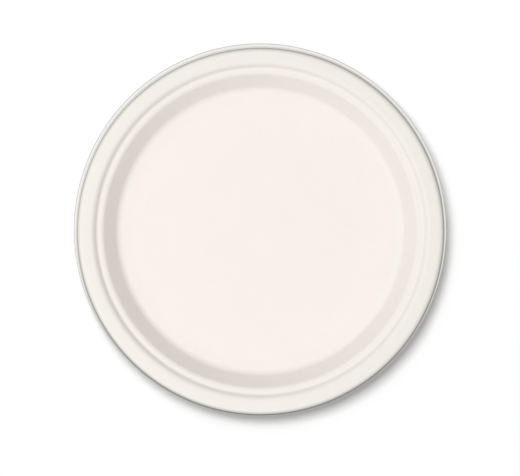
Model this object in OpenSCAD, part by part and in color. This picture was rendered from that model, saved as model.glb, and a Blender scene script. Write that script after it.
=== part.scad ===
// Round paper plate, pressed in one piece from moulded plant fibre.
// Its section is one path, walked outwards from the centre along the food side:
// flat base, sloping wall, narrow ledge, small step, rim, turned-down edge, trimmed lip.

/* [Plate] */
// Diameter over the trimmed lip
plate_d = 225; // [200:1:260]
// Height from the table to the top of the rim
plate_h = 20; // [16:0.5:24]
// Thickness of the pressed fibre
wall_t = 0.8; // [0.5:0.05:1.1]

/* [Well] */
// Slope of the well's wall above the horizontal, in degrees
wall_slope = 62; // [50:1:70]
// Radius of the bend from the base into the wall
foot_r = 4.6; // [3:0.2:7.4]
// Radius of the bend from the wall onto the ledge
shoulder_r = 3; // [1.5:0.1:4.5]

/* [Ledge and step] */
// Level width of the ledge, between its two bends
ledge_w = 0.8; // [0.2:0.1:4]
// Height of the rim's top above the ledge
step_h = 4; // [3.4:0.1:6]
// Slope of the step above the horizontal, in degrees
step_slope = 62; // [45:1:70]
// Radius of the bend at the foot of the step
step_foot_r = 1.7; // [0.8:0.1:1.9]
// Radius of the bend from the step onto the rim
step_top_r = 3.1; // [1.4:0.1:3.2]

/* [Rim] */
// Width of the rim, between its two bends
rim_w = 4.4; // [3:0.1:12]
// Fall of the rim below the horizontal, outwards, in degrees
rim_fall = 0.5; // [0:0.5:4]

/* [Edge and lip] */
// Radius of the bend from the rim into the turned-down edge
edge_r = 3; // [1.3:0.1:4]
// Slope of the turned-down edge below the horizontal, in degrees
edge_slope = 84; // [65:1:88]
// Straight part of the turned-down edge, between its two bends
edge_run = 0.6; // [0.2:0.1:3]
// Radius of the crease between the edge and the lip
crease_r = 0.7; // [0.3:0.1:1]
// Level width of the lip, outside its crease
lip_w = 2.3; // [1:0.1:4]
// Radius on the two corners of the trimmed cut
cut_r = 0.2; // [0.05:0.05:0.25]

/* [Hidden] */

fibre_colour = "#F6F0E6";
// Largest turn from one point of a bend to the next, in degrees
bend_step = 5;
// Steps round each corner of the cut
cut_steps = 3;
// Sides of the turned plate in the preview
turn_fn = 240;

ledge_z = plate_h - step_h;

// The two sloping runs take the height that their bends leave
wall_run = (ledge_z - wall_t - (foot_r + shoulder_r) * (1 - cos(wall_slope))) / sin(wall_slope);
step_run = (step_h - (step_foot_r + step_top_r) * (1 - cos(step_slope))) / sin(step_slope);
rim_run = rim_w / cos(rim_fall);

// Legs of the path outside the base. Each is a straight run and the bend that ends it:
// length, radius on the food side, and turn in degrees, which is upwards where positive
outer_legs = [
    [wall_run, shoulder_r, -wall_slope],
    [ledge_w, step_foot_r, step_slope],
    [step_run, step_top_r, -step_slope - rim_fall],
    [rim_run, edge_r, rim_fall - edge_slope],
    [edge_run, crease_r, edge_slope],
    [lip_w, 0, 0]
];

// The base takes the radius that the rest of the path leaves
base_r = plate_d / 2 - path_end([0, 0], 0, concat([[0, foot_r, wall_slope]], outer_legs))[0];
legs = concat([[base_r, foot_r, wall_slope]], outer_legs);
top_centre = [0, wall_t];

function along(heading) = [cos(heading), sin(heading)];
function left_of(heading) = [-sin(heading), cos(heading)];

// Centre of a leg's bend: left of the path where it turns upwards, right where it turns down
function bend_centre(start, heading, leg) =
    start + leg[0] * along(heading) + sign(leg[2]) * leg[1] * left_of(heading);

function leg_end(start, heading, leg) =
    bend_centre(start, heading, leg) - sign(leg[2]) * leg[1] * left_of(heading + leg[2]);

function path_end(start, heading, path, i = 0) =
    i == len(path) ? start :
    path_end(leg_end(start, heading, path[i]), heading + path[i][2], path, i + 1);

// Points round one leg's bend, on the face that lies depth below the food side
function bend_points(start, heading, leg, depth) =
    let (
        centre = bend_centre(start, heading, leg),
        side = sign(leg[2]),
        radius = leg[1] + side * depth,
        steps = ceil(abs(leg[2]) / bend_step)
    )
    [for (k = [0:steps]) centre - side * radius * left_of(heading + leg[2] * k / steps)];

// Points of the whole path on that face, up to where the lip runs out level
function face_points(start, heading, path, depth, i = 0) =
    i == len(path) - 1 ? [] :
    concat(
        bend_points(start, heading, path[i], depth),
        face_points(leg_end(start, heading, path[i]), heading + path[i][2], path, depth, i + 1)
    );

// Points round one corner of the cut, a quarter turn clockwise from the angle given
function cut_corner(centre, from) =
    [for (k = [0:cut_steps]) centre + cut_r * along(from - 90 * k / cut_steps)];

function cut_points(end) = concat(
    cut_corner(end + [-cut_r, -cut_r], 90),
    cut_corner(end + [-cut_r, cut_r - wall_t], 0)
);

function reversed(list) = [for (i = [len(list) - 1:-1:0]) list[i]];

module section() {
    polygon(concat(
        [top_centre],
        face_points(top_centre, 0, legs, 0),
        cut_points(path_end(top_centre, 0, legs)),
        reversed(face_points(top_centre, 0, legs, wall_t)),
        [[0, 0]]
    ));
}

module plate() {
    color(fibre_colour)
        rotate_extrude($fn = turn_fn)
            section();
}

plate();
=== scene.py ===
"""Round paper plate, pressed in one piece from moulded plant fibre.

The plate is one turned section: flat base, sloping wall, narrow ledge, small step, rim,
turned-down edge and trimmed lip. Every size is in millimetres until MM takes it to metres,
and every angle is in degrees. Directions run anticlockwise from +X, seen from above.
"""

from math import ceil, cos, pi, radians, sin

import bmesh
import bpy
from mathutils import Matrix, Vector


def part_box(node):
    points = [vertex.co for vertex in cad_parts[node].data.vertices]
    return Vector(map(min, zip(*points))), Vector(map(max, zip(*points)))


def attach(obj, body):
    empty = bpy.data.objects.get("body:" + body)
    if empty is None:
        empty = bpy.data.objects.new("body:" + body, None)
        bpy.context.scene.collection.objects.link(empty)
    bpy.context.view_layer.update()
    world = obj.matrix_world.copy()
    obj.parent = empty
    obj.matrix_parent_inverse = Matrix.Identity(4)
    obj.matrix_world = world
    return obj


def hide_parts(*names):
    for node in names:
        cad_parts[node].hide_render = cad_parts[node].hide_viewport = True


MM = 0.001
ORIGIN = (0, 0)

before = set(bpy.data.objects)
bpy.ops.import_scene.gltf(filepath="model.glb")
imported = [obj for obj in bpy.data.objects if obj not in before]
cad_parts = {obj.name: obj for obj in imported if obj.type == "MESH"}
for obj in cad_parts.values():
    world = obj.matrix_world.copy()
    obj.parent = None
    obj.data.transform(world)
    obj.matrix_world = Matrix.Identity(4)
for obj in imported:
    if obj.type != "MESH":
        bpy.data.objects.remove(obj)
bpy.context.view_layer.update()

# The plate's section
# The two overall sizes come from the CAD node, and the rest repeat the part's own values.
PLATE_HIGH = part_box("plate")[1]
PLATE_R = PLATE_HIGH.x / MM
PLATE_H = PLATE_HIGH.z / MM
WALL_T = 0.8
WALL_SLOPE = 62
FOOT_R = 4.6
SHOULDER_R = 3
LEDGE_W = 0.8
STEP_H = 4
STEP_SLOPE = 62
STEP_FOOT_R = 1.7
STEP_TOP_R = 3.1
RIM_W = 4.4
RIM_FALL = 0.5
EDGE_R = 3
EDGE_SLOPE = 84
EDGE_RUN = 0.6
CREASE_R = 0.7
LIP_W = 2.3
CUT_R = 0.2
# Legs of the section before the step: base, wall and ledge
LEGS_TO_STEP = 3
# Marks of the section's faces, and how near a value has to be to count as one of them
FOOD_SIDE, CUT, UNDERSIDE = 0, 0.5, 1
MARK_GAP = 0.06

# How finely the section and its turn are cut into faces
BEND_STEP = 6
RUN_STEP = 2.6
TURN_STEPS = 400
CUT_STEPS = 3
WELD_GAP = 0.002

# What drying and trimming leave on a real plate
# The wall and rim dry slightly out of level, and the base stays flat on the table.
WARP_H = 0.25
WARP_SIZE = 90
# Shallow dimples where the pulp shrank unevenly
DIMPLE_H = 0.025
DIMPLE_SIZE = 9
# The turned-down edge shrinks a little off centre.
EDGE_SHIFT = 0.33
EDGE_SHIFT_DIRECTION = 300
# The die cuts the lip off centre, and the fibre leaves its edge uneven.
TRIM_SHIFT = 0.85
TRIM_SHIFT_DIRECTION = 98
TRIM_WANDER = 0.08
TRIM_SIZE = 3.5
# The detail and seed of the noises that the warp, dimples and cut follow
SHAPE_DETAIL = 1
SHAPE_SEED = 7

# The pressed fibre's colours
FIBRE_BASE = "#EDE5DF"
FIBRE_WALL = "#E8E4DD"
# Painted shade on the turned-down edge
EDGE_SHADE = "#B1B0AD"
FIBRE_LIP = "#E9E8E5"
FIBRE_STRAND = "#DDD2C4"
# Painted shade in the crease, also laid on the shaded side's lip
CREASE_SHADE = "#646764"
FIBRE_CUT = "#B8B5AF"
FIBRE_ROUGHNESS = 0.8
FIBRE_IOR = 1.47
# Direction of the side where the painted shade on the edge, crease and lip is strongest
SHADED_SIDE = 268
# Radii between which one colour passes into the next, and how much of it shows over most of
# the plate and at the shaded side's edge. The wall and rim press against a hotter part of the
# die and come out yellower. The turned-down edge is painted greyer, as shade, most on the
# shaded side, where the lip is painted as grey as the crease's shade. Elsewhere the lip is pale.
COLOUR_AND_SHADE_ZONES = (
    (74, 86, FIBRE_WALL, 1.0, 1.0),
    (107.4, 109.5, EDGE_SHADE, 0.4, 0.85),
    (110.2, 110.3, CREASE_SHADE, 0.0, 0.6),
    (110.5, 111.6, FIBRE_LIP, 1.0, 0.0),
)
# The crease's darker line is painted shade. How tightly bent the fibre is where the line
# begins, and how much of it shows over most of the plate and at the shaded side's edge
CREASE_SHADE_FROM = 0.6
CREASE_SHADE_SHOW = (0.4, 0.85)

# The pressed fibre's pattern
# Where the pulp lies thicker it looks darker, by this share. The range is the part of the
# noise over which it passes from thick to thin.
CLOUD_SIZE = 22
CLOUD_NOISE = {"Detail": 4.0, "Roughness": 0.6}
CLOUD_RANGE = (0.3, 0.7)
CLOUD_SHADE = 0.015
# A bagasse strand is about 1.5 mm long and 0.03 mm wide. That is too fine to show, so the
# strands are drawn 3 mm long and a third of a millimetre wide. They lie three ways, and
# only where the noise is high, within the range.
STRAND_L = 3
STRAND_W = 0.35
STRAND_TURNS = (15, 75, 135)
STRAND_NOISE = {"Scale": 1.0, "Detail": 1.0, "Roughness": 0.4}
STRAND_RANGE = (0.66, 0.74)
STRAND_SHOW = 0.15
# The grain of the pulp is about 0.2 mm, drawn at 0.8 mm so that it shows.
GRAIN_SIZE = 0.8
GRAIN_NOISE = {"Detail": 2.0, "Roughness": 0.5}
GRAIN_H = 0.012
# The forming screen's wires are about 0.5 mm apart, drawn at 1.1 mm so that they show.
WIRE_SPACING = 1.1
WIRE_H = 0.05

# The table
TABLE_SIZE = 6000
TABLE_WHITE = "#E2E2E2"
TABLE_ROUGHNESS = 0.9

# The studio
ROOM_WHITE = "#FFFFFF"
ROOM_LIGHT = 0.61
SOFTBOX_DISTANCE = 2000
SOFTBOX_SIZE = 800
# Azimuth, elevation and power in watts of each softbox
KEY_SOFTBOX = (126, 71, 34.5)
FAR_LEFT_SOFTBOX = (135, 65, 8.1)
NEAR_LEFT_SOFTBOX = (225, 65, 14.8)

# The photograph's frame: its size in pixels, and the plate's width and centre in it
PHOTO_W, PHOTO_H = 520, 476
PHOTO_PLATE_D = 375.3
PHOTO_CENTRE = (260.3, 231.1)

# The camera
CAMERA_HEIGHT = 1300
SENSOR_W = 36


def along(heading):
    """The unit vector at that heading."""
    return (cos(radians(heading)), sin(radians(heading)))


def left_of(heading):
    """The unit vector a quarter turn to the left of that heading."""
    return (-sin(radians(heading)), cos(radians(heading)))


def offset(point, direction, length):
    """The point that far from another one, in that direction."""
    return (point[0] + direction[0] * length, point[1] + direction[1] * length)


def plate_legs():
    """Legs of the section's path along the food side, from the centre outwards.

    Each is a straight run and the bend that ends it: length, radius and turn, which is
    upwards where positive. The sloping runs take the height that their bends leave, and
    the base takes the radius that the rest leaves.
    """
    wall_bends = (FOOT_R + SHOULDER_R) * (1 - cos(radians(WALL_SLOPE)))
    wall_run = (PLATE_H - STEP_H - WALL_T - wall_bends) / sin(radians(WALL_SLOPE))
    step_bends = (STEP_FOOT_R + STEP_TOP_R) * (1 - cos(radians(STEP_SLOPE)))
    step_run = (STEP_H - step_bends) / sin(radians(STEP_SLOPE))
    rim_run = RIM_W / cos(radians(RIM_FALL))
    outer = [
        (wall_run, SHOULDER_R, -WALL_SLOPE),
        (LEDGE_W, STEP_FOOT_R, STEP_SLOPE),
        (step_run, STEP_TOP_R, -STEP_SLOPE - RIM_FALL),
        (rim_run, EDGE_R, RIM_FALL - EDGE_SLOPE),
        (EDGE_RUN, CREASE_R, EDGE_SLOPE),
        (LIP_W, 0, 0),
    ]
    base_r = PLATE_R - path_end([(0, FOOT_R, WALL_SLOPE)] + outer)[0]
    return [(base_r, FOOT_R, WALL_SLOPE)] + outer


def walk(legs, depth):
    """Points along the face that lies depth below the food side, and the food side's end.

    Each point is its radius, its height and how tightly the fibre is bent there, from 0 on
    a straight run to 1 in the crease.
    """
    points = []
    start = (0, WALL_T)
    heading = 0
    for length, radius, turn in legs:
        side = (turn > 0) - (turn < 0)
        runs = ceil(length / RUN_STEP)
        for k in range(runs):
            on_path = offset(start, along(heading), length * k / runs)
            points.append((*offset(on_path, left_of(heading), -depth), 0))
        corner = offset(start, along(heading), length)
        centre = offset(corner, left_of(heading), side * radius)
        bends = ceil(abs(turn) / BEND_STEP)
        for k in range(bends):
            way = left_of(heading + turn * k / bends)
            on_bend = offset(centre, way, -side * (radius + side * depth))
            points.append((*on_bend, CREASE_R / radius))
        heading += turn
        start = offset(centre, left_of(heading), -side * radius)
    return points, start


def path_end(legs):
    """Radius and height of the food side where those legs end."""
    return walk(legs, 0)[1]


def cut_corner(centre, start_angle):
    """A quarter turn clockwise round one corner of the trimmed cut."""
    turns = [start_angle - 90 * k / CUT_STEPS for k in range(CUT_STEPS + 1)]
    return [(*offset(centre, along(angle), CUT_R), 0) for angle in turns]


def plate_section():
    """The closed section, from the centre of the food side out round the lip and back.

    Each point is its radius, its height, how tightly the food side is bent there, and its
    face's mark.
    """
    legs = plate_legs()
    food_side, end = walk(legs, 0)
    underside = walk(legs, WALL_T)[0]
    upper = (end[0] - CUT_R, end[1] - CUT_R)
    lower = (end[0] - CUT_R, end[1] + CUT_R - WALL_T)
    cut = cut_corner(upper, 90) + cut_corner(lower, 0)
    return (
        [(*point, FOOD_SIDE) for point in food_side]
        + [(*point, CUT) for point in cut]
        + [(r, z, 0, UNDERSIDE) for r, z, _ in underside[::-1]]
    )


def node(tree, kind, inputs=None, **settings):
    """Adds a node, sets its properties, and sets or links its inputs.

    Inputs go by name or number among those that the properties leave in use. A node given
    as an input's value stands for its own first output in use.
    """
    new = tree.nodes.new(kind)
    for name, value in settings.items():
        setattr(new, name, value)
    used = [socket for socket in new.inputs if socket.enabled]
    for key, value in (inputs or {}).items():
        socket = used[key] if isinstance(key, int) else next(s for s in used if s.name == key)
        if isinstance(value, bpy.types.Node):
            value = next(output for output in value.outputs if output.enabled)
        if isinstance(value, bpy.types.NodeSocket):
            tree.links.new(value, socket)
        else:
            socket.default_value = value
    return new


def linear(colour):
    """An sRGB hex colour as Blender's linear one."""
    values = [int(colour[i : i + 2], 16) / 255 for i in (1, 3, 5)]
    turned = [v / 12.92 if v <= 0.04045 else ((v + 0.055) / 1.055) ** 2.4 for v in values]
    return (*turned, 1.0)


def per_metre(size):
    """How many times a pattern of that size repeats in a metre."""
    return 1 / (size * MM)


def fibre_colour(tree, place, face):
    """Colour zones, clouds, strands, the cut, and painted shade on edge, crease and lip."""
    # From 0 over the far half of the plate to 1 at the shaded side's edge, for the painted shade
    side = node(tree, "ShaderNodeVectorMath", {
        0: place, 1: (*along(SHADED_SIDE), 0),
    }, operation="DOT_PRODUCT")
    shade_side = node(tree, "ShaderNodeMapRange", {"Value": side, "From Max": PLATE_R * MM})
    reach = node(tree, "ShaderNodeAttribute", attribute_name="reach").outputs["Fac"]
    colour = linear(FIBRE_BASE)
    for starts, ends, zone, show_elsewhere, show_at_shade in COLOUR_AND_SHADE_ZONES:
        show = node(tree, "ShaderNodeMapRange", {
            "Value": shade_side, "To Min": show_elsewhere, "To Max": show_at_shade,
        })
        inside = node(tree, "ShaderNodeMapRange", {
            "Value": reach, "From Min": starts, "From Max": ends, "To Max": show,
        }, interpolation_type="SMOOTHSTEP")
        colour = node(tree, "ShaderNodeMix", {
            "Factor": inside, "A": colour, "B": linear(zone),
        }, data_type="RGBA")

    clouds = node(tree, "ShaderNodeTexNoise", {
        "Vector": place, "Scale": per_metre(CLOUD_SIZE), **CLOUD_NOISE,
    })
    shade = node(tree, "ShaderNodeMapRange", {
        "Value": clouds, "From Min": CLOUD_RANGE[0], "From Max": CLOUD_RANGE[1],
        "To Min": 1 - CLOUD_SHADE, "To Max": 1.0,
    })
    colour = node(tree, "ShaderNodeVectorMath", {0: colour, "Scale": shade}, operation="SCALE")

    for turn in STRAND_TURNS:
        laid = node(tree, "ShaderNodeMapping", {
            "Vector": place, "Rotation": (0, 0, radians(turn)),
            "Scale": (per_metre(STRAND_L), per_metre(STRAND_W), per_metre(STRAND_L)),
        })
        strand = node(tree, "ShaderNodeTexNoise", {"Vector": laid, **STRAND_NOISE})
        strand = node(tree, "ShaderNodeMapRange", {
            "Value": strand, "From Min": STRAND_RANGE[0], "From Max": STRAND_RANGE[1],
            "To Max": STRAND_SHOW,
        })
        colour = node(tree, "ShaderNodeMix", {
            "Factor": strand, "A": colour, "B": linear(FIBRE_STRAND),
        }, data_type="RGBA")

    # The crease's darker line is painted shade, laid where the fibre is bent tightest.
    bend = node(tree, "ShaderNodeAttribute", attribute_name="bend").outputs["Fac"]
    show = node(tree, "ShaderNodeMapRange", {
        "Value": shade_side, "To Min": CREASE_SHADE_SHOW[0], "To Max": CREASE_SHADE_SHOW[1],
    })
    painted_crease = node(tree, "ShaderNodeMapRange", {
        "Value": bend, "From Min": CREASE_SHADE_FROM, "From Max": 1.0, "To Max": show,
    })
    colour = node(tree, "ShaderNodeMix", {
        "Factor": painted_crease, "A": colour, "B": linear(CREASE_SHADE),
    }, data_type="RGBA")

    on_cut = node(tree, "ShaderNodeMath", {0: face, 1: CUT, 2: MARK_GAP}, operation="COMPARE")
    return node(tree, "ShaderNodeMix", {
        "Factor": on_cut, "A": colour, "B": linear(FIBRE_CUT),
    }, data_type="RGBA")


def fibre_relief(tree, place, face):
    """The pulp's grain all over, and the screen's weave on the underside."""
    grain = node(tree, "ShaderNodeTexNoise", {
        "Vector": place, "Scale": per_metre(GRAIN_SIZE), **GRAIN_NOISE,
    })
    relief = node(tree, "ShaderNodeBump", {"Height": grain, "Distance": GRAIN_H * MM})

    # The weave is the product of a wave along X and a wave along Y.
    turns = node(tree, "ShaderNodeVectorMath", {
        0: place, "Scale": 2 * pi * per_metre(WIRE_SPACING),
    }, operation="SCALE")
    waves = node(tree, "ShaderNodeVectorMath", {0: turns}, operation="SINE")
    waves = node(tree, "ShaderNodeSeparateXYZ", {"Vector": waves}).outputs
    weave = node(tree, "ShaderNodeMath", {0: waves["X"], 1: waves["Y"]}, operation="MULTIPLY")
    under = node(tree, "ShaderNodeMath", {
        0: face, 1: (CUT + UNDERSIDE) / 2,
    }, operation="GREATER_THAN")
    weave = node(tree, "ShaderNodeMath", {0: weave, 1: under}, operation="MULTIPLY")
    return node(tree, "ShaderNodeBump", {
        "Height": weave, "Distance": WIRE_H * MM, "Normal": relief,
    })


def pressed_plant_fibre():
    """Hot-pressed sugar-cane pulp, formed wet on a wire screen and dried in a die.

    It gives the eye a matte, warm white face with soft clouds where the pulp lies thicker,
    faint strands pressed flat in it, a darker trimmed cut, and the screen's weave on the
    underside. Shade is painted into it too: a grey line in the edge's crease and grey on the
    turned-down edge, both strongest on one side, where the lip is painted as grey.
    """
    material = bpy.data.materials.new("pressed_plant_fibre")
    material.use_nodes = True
    tree = material.node_tree
    tree.nodes.clear()
    place = node(tree, "ShaderNodeTexCoord").outputs["Object"]
    face = node(tree, "ShaderNodeAttribute", attribute_name="face").outputs["Fac"]
    bsdf = node(tree, "ShaderNodeBsdfPrincipled", {
        "Base Color": fibre_colour(tree, place, face),
        "Normal": fibre_relief(tree, place, face),
        "Roughness": FIBRE_ROUGHNESS, "IOR": FIBRE_IOR,
    })
    node(tree, "ShaderNodeOutputMaterial", {"Surface": bsdf})
    return material


# The turned section's inputs and their kinds
LATHE_INPUTS = {
    "Geometry": "Geometry", "Turn steps": "Int", "Weld gap": "Float", "Plate radius": "Float",
    "Wall starts": "Float", "Warp height": "Float", "Warp size": "Float",
    "Dimple height": "Float", "Dimple size": "Float",
    "Shift starts": "Float", "Shift ends": "Float", "Edge shift": "Vector",
    "Trim starts": "Float", "Trim shift": "Vector", "Trim inset": "Float",
    "Trim wander": "Float", "Trim size": "Float",
    "Seed": "Int", "Material": "Material",
}


def lathe_tree():
    """Turns a section about Z, then adds what drying and trimming leave."""
    tree = bpy.data.node_groups.new("turned_section", "GeometryNodeTree")
    for name, kind in LATHE_INPUTS.items():
        tree.interface.new_socket(name, in_out="INPUT", socket_type="NodeSocket" + kind)
    tree.interface.new_socket("Geometry", in_out="OUTPUT", socket_type="NodeSocketGeometry")
    given = node(tree, "NodeGroupInput").outputs

    # The section is swept round a circle of the plate's own radius.
    profile = node(tree, "GeometryNodeMeshToCurve", {"Mesh": given["Geometry"]})
    circle = node(tree, "GeometryNodeCurvePrimitiveCircle", {
        "Resolution": given["Turn steps"], "Radius": given["Plate radius"],
    })
    shell = node(tree, "GeometryNodeCurveToMesh", {"Curve": circle, "Profile Curve": profile})
    shell = node(tree, "GeometryNodeMergeByDistance", {
        "Geometry": shell, "Distance": given["Weld gap"],
    })

    # Both faces move alike, because they read each noise at the same place in plan.
    place = node(tree, "GeometryNodeInputPosition")
    level = node(tree, "ShaderNodeVectorMath", {0: place, 1: (1, 1, 0)}, operation="MULTIPLY")
    radius = node(tree, "ShaderNodeVectorMath", {0: level}, operation="LENGTH")
    outwards = node(tree, "ShaderNodeVectorMath", {0: level}, operation="NORMALIZE")
    noise = {}
    for name in ("Warp", "Dimple", "Trim"):
        scale = node(tree, "ShaderNodeMath", {
            0: 1.0, 1: given[name + " size"],
        }, operation="DIVIDE")
        noise[name] = node(tree, "ShaderNodeTexNoise", {
            "Vector": level, "W": given["Seed"], "Scale": scale, "Detail": SHAPE_DETAIL,
        }, noise_dimensions="4D", normalize=False)

    # The wall and rim rise and fall a little with the warp, and the base stays flat.
    rise = node(tree, "ShaderNodeMapRange", {
        "Value": radius, "From Min": given["Wall starts"], "From Max": given["Plate radius"],
        "To Max": given["Warp height"],
    }, interpolation_type="SMOOTHSTEP")
    # The whole plate stands on its deepest dimples.
    lift = node(tree, "ShaderNodeMath", {
        0: noise["Warp"], 1: rise, 2: given["Dimple height"],
    }, operation="MULTIPLY_ADD")
    moved = node(tree, "ShaderNodeCombineXYZ", {"Z": lift})

    dimples = node(tree, "ShaderNodeVectorMath", {
        0: noise["Dimple"].outputs["Color"], "Scale": given["Dimple height"],
    }, operation="SCALE")
    moved = node(tree, "ShaderNodeVectorMath", {0: moved, 1: dimples}, operation="ADD")

    # The edge and lip are off centre as one, and the step and rim take up the difference.
    shifted = node(tree, "ShaderNodeMapRange", {
        "Value": radius, "From Min": given["Shift starts"], "From Max": given["Shift ends"],
    }, interpolation_type="SMOOTHSTEP")
    aside = node(tree, "ShaderNodeVectorMath", {
        0: given["Edge shift"], "Scale": shifted,
    }, operation="SCALE")
    moved = node(tree, "ShaderNodeVectorMath", {0: moved, 1: aside}, operation="ADD")

    # The cut runs round a smaller circle with its own centre.
    wander = node(tree, "ShaderNodeMath", {
        0: noise["Trim"], 1: given["Trim wander"],
    }, operation="MULTIPLY")
    inset = node(tree, "ShaderNodeMath", {
        0: wander, 1: given["Trim inset"],
    }, operation="SUBTRACT")
    trim = node(tree, "ShaderNodeVectorMath", {0: outwards, "Scale": inset}, operation="SCALE")
    trim = node(tree, "ShaderNodeVectorMath", {0: trim, 1: given["Trim shift"]}, operation="ADD")
    at_cut = node(tree, "ShaderNodeMapRange", {
        "Value": radius, "From Min": given["Trim starts"], "From Max": given["Plate radius"],
    }, interpolation_type="SMOOTHSTEP")
    trim = node(tree, "ShaderNodeVectorMath", {0: trim, "Scale": at_cut}, operation="SCALE")
    moved = node(tree, "ShaderNodeVectorMath", {0: moved, 1: trim}, operation="ADD")

    shell = node(tree, "GeometryNodeSetPosition", {"Geometry": shell, "Offset": moved})
    shell = node(tree, "GeometryNodeSetShadeSmooth", {"Geometry": shell})
    shell = node(tree, "GeometryNodeRealizeInstances", {"Geometry": shell})
    shell = node(tree, "GeometryNodeSetMaterial", {
        "Geometry": shell, "Material": given["Material"],
    })
    node(tree, "NodeGroupOutput", {"Geometry": shell})
    return tree


def set_inputs(modifier, values):
    """Sets a node modifier's inputs by their sockets' identifiers."""
    for item in modifier.node_group.interface.items_tree:
        if item.item_type == "SOCKET" and item.in_out == "INPUT" and item.name in values:
            modifier[item.identifier] = values[item.name]


def as_plain_mesh(source, name):
    """The evaluated object as a new object with a plain mesh, turned outwards."""
    graph = bpy.context.evaluated_depsgraph_get()
    mesh = bpy.data.meshes.new_from_object(source.evaluated_get(graph))
    mesh.name = name
    bpy.data.objects.remove(source)
    work = bmesh.new()
    work.from_mesh(mesh)
    bmesh.ops.recalc_face_normals(work, faces=work.faces)
    work.to_mesh(mesh)
    work.free()
    plain = bpy.data.objects.new(name, mesh)
    bpy.context.scene.collection.objects.link(plain)
    return plain


def make_section():
    """The section as a chain of edges, whose points carry their reach, bend and face."""
    points = plate_section()
    # Swept round the circle, a profile's X points outwards and its Y down.
    profile = [((r - PLATE_R) * MM, -z * MM, 0) for r, z, _, _ in points]
    mesh = bpy.data.meshes.new("plate_section")
    mesh.from_pydata(profile, [(k, k + 1) for k in range(len(points) - 1)], [])
    reach, _, bend, face = zip(*points)
    for name, values in (("reach", reach), ("bend", bend), ("face", face)):
        carried = mesh.attributes.new(name, "FLOAT", "POINT").data
        carried.foreach_set("value", [float(value) for value in values])
    section = bpy.data.objects.new("plate_section", mesh)
    bpy.context.scene.collection.objects.link(section)
    return section


def make_plate(material):
    """The whole plate: its section turned into a closed shell."""
    section = make_section()
    modifier = section.modifiers.new("turned_section", "NODES")
    modifier.node_group = lathe_tree()
    legs = plate_legs()
    base_r = legs[0][0]
    step_starts = path_end(legs[:LEGS_TO_STEP])[0]
    edge_shift = offset(ORIGIN, along(EDGE_SHIFT_DIRECTION), EDGE_SHIFT * MM)
    # The lip has moved with the edge, so the cut's shift is counted from there.
    unshifted = offset(ORIGIN, edge_shift, -1)
    trim_shift = offset(unshifted, along(TRIM_SHIFT_DIRECTION), TRIM_SHIFT * MM)
    set_inputs(modifier, {
        "Turn steps": TURN_STEPS, "Weld gap": WELD_GAP * MM,
        "Plate radius": PLATE_R * MM, "Wall starts": base_r * MM,
        "Warp height": WARP_H * MM, "Warp size": WARP_SIZE * MM,
        "Dimple height": DIMPLE_H * MM, "Dimple size": DIMPLE_SIZE * MM,
        "Shift starts": step_starts * MM, "Shift ends": (step_starts + RIM_W) * MM,
        "Edge shift": (*edge_shift, 0),
        "Trim starts": (PLATE_R - LIP_W) * MM, "Trim shift": (*trim_shift, 0),
        "Trim inset": TRIM_SHIFT * MM,
        "Trim wander": TRIM_WANDER * MM, "Trim size": TRIM_SIZE * MM,
        "Seed": SHAPE_SEED, "Material": material,
    })
    return as_plain_mesh(section, "fibre_plate")


def matt_white_laminate():
    """Matt white table laminate, which gives the eye a plain pale ground with no gloss."""
    material = bpy.data.materials.new("matt_white_laminate")
    material.use_nodes = True
    bsdf = material.node_tree.nodes["Principled BSDF"]
    bsdf.inputs["Base Color"].default_value = linear(TABLE_WHITE)
    bsdf.inputs["Roughness"].default_value = TABLE_ROUGHNESS
    return material


def make_table():
    """A flat white table top, wide enough to fill every view."""
    half = TABLE_SIZE * MM / 2
    corners = [(-half, -half, 0), (half, -half, 0), (half, half, 0), (-half, half, 0)]
    mesh = bpy.data.meshes.new("table")
    mesh.from_pydata(corners, [], [(0, 1, 2, 3)])
    mesh.materials.append(matt_white_laminate())
    table = bpy.data.objects.new("table", mesh)
    bpy.context.scene.collection.objects.link(table)
    return table


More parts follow.
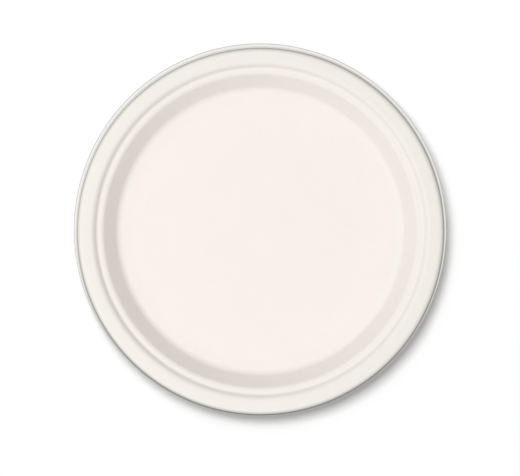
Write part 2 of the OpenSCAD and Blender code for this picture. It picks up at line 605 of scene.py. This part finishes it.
def make_softbox(name, azimuth, elevation, power, only):
    """A square soft light of that many watts, which falls on one object only.

    It faces the plate from that azimuth and elevation.
    """
    data = bpy.data.lights.new(name, "AREA")
    data.shape = "SQUARE"
    data.size = SOFTBOX_SIZE * MM
    data.energy = power
    light = bpy.data.objects.new(name, data)
    level, height = offset(ORIGIN, along(elevation), SOFTBOX_DISTANCE * MM)
    light.location = (*offset(ORIGIN, along(azimuth), level), height)
    light.rotation_euler = (radians(90 - elevation), 0, radians(azimuth + 90))
    bpy.context.scene.collection.objects.link(light)
    lit = bpy.data.collections.new(name + "_lights")
    lit.objects.link(only)
    light.light_linking.receiver_collection = lit


def make_world():
    """An even white room, which lights the table and the plate alike."""
    world = bpy.data.worlds.new("white_studio")
    world.use_nodes = True
    background = world.node_tree.nodes["Background"]
    background.inputs["Color"].default_value = linear(ROOM_WHITE)
    background.inputs["Strength"].default_value = ROOM_LIGHT
    bpy.context.scene.world = world


def make_camera():
    """Straight above the plate, a little to one side of it, as in the photograph."""
    mm_per_pixel = 2 * PLATE_R / PHOTO_PLATE_D
    # The plate is widest at the lip's upper face.
    lip_height = path_end(plate_legs())[1]
    data = bpy.data.cameras.new("camera")
    data.sensor_width = SENSOR_W
    data.lens = SENSOR_W * (CAMERA_HEIGHT - lip_height) / (PHOTO_W * mm_per_pixel)
    camera = bpy.data.objects.new("camera", data)
    aside = (PHOTO_W / 2 - PHOTO_CENTRE[0]) * mm_per_pixel
    below = (PHOTO_CENTRE[1] - PHOTO_H / 2) * mm_per_pixel
    camera.location = (aside * MM, below * MM, CAMERA_HEIGHT * MM)
    bpy.context.scene.collection.objects.link(camera)
    bpy.context.scene.camera = camera


make_camera()
table = make_table()
plate = make_plate(pressed_plant_fibre())

# The key softbox throws the plate's shadow to the lower right, and the two others light the
# plate alone, from the left.
make_world()
make_softbox("key_softbox", *KEY_SOFTBOX, only=table)
make_softbox("far_left_softbox", *FAR_LEFT_SOFTBOX, only=plate)
make_softbox("near_left_softbox", *NEAR_LEFT_SOFTBOX, only=plate)
bpy.context.scene.view_settings.view_transform = "Standard"

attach(plate, "root")
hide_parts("plate")
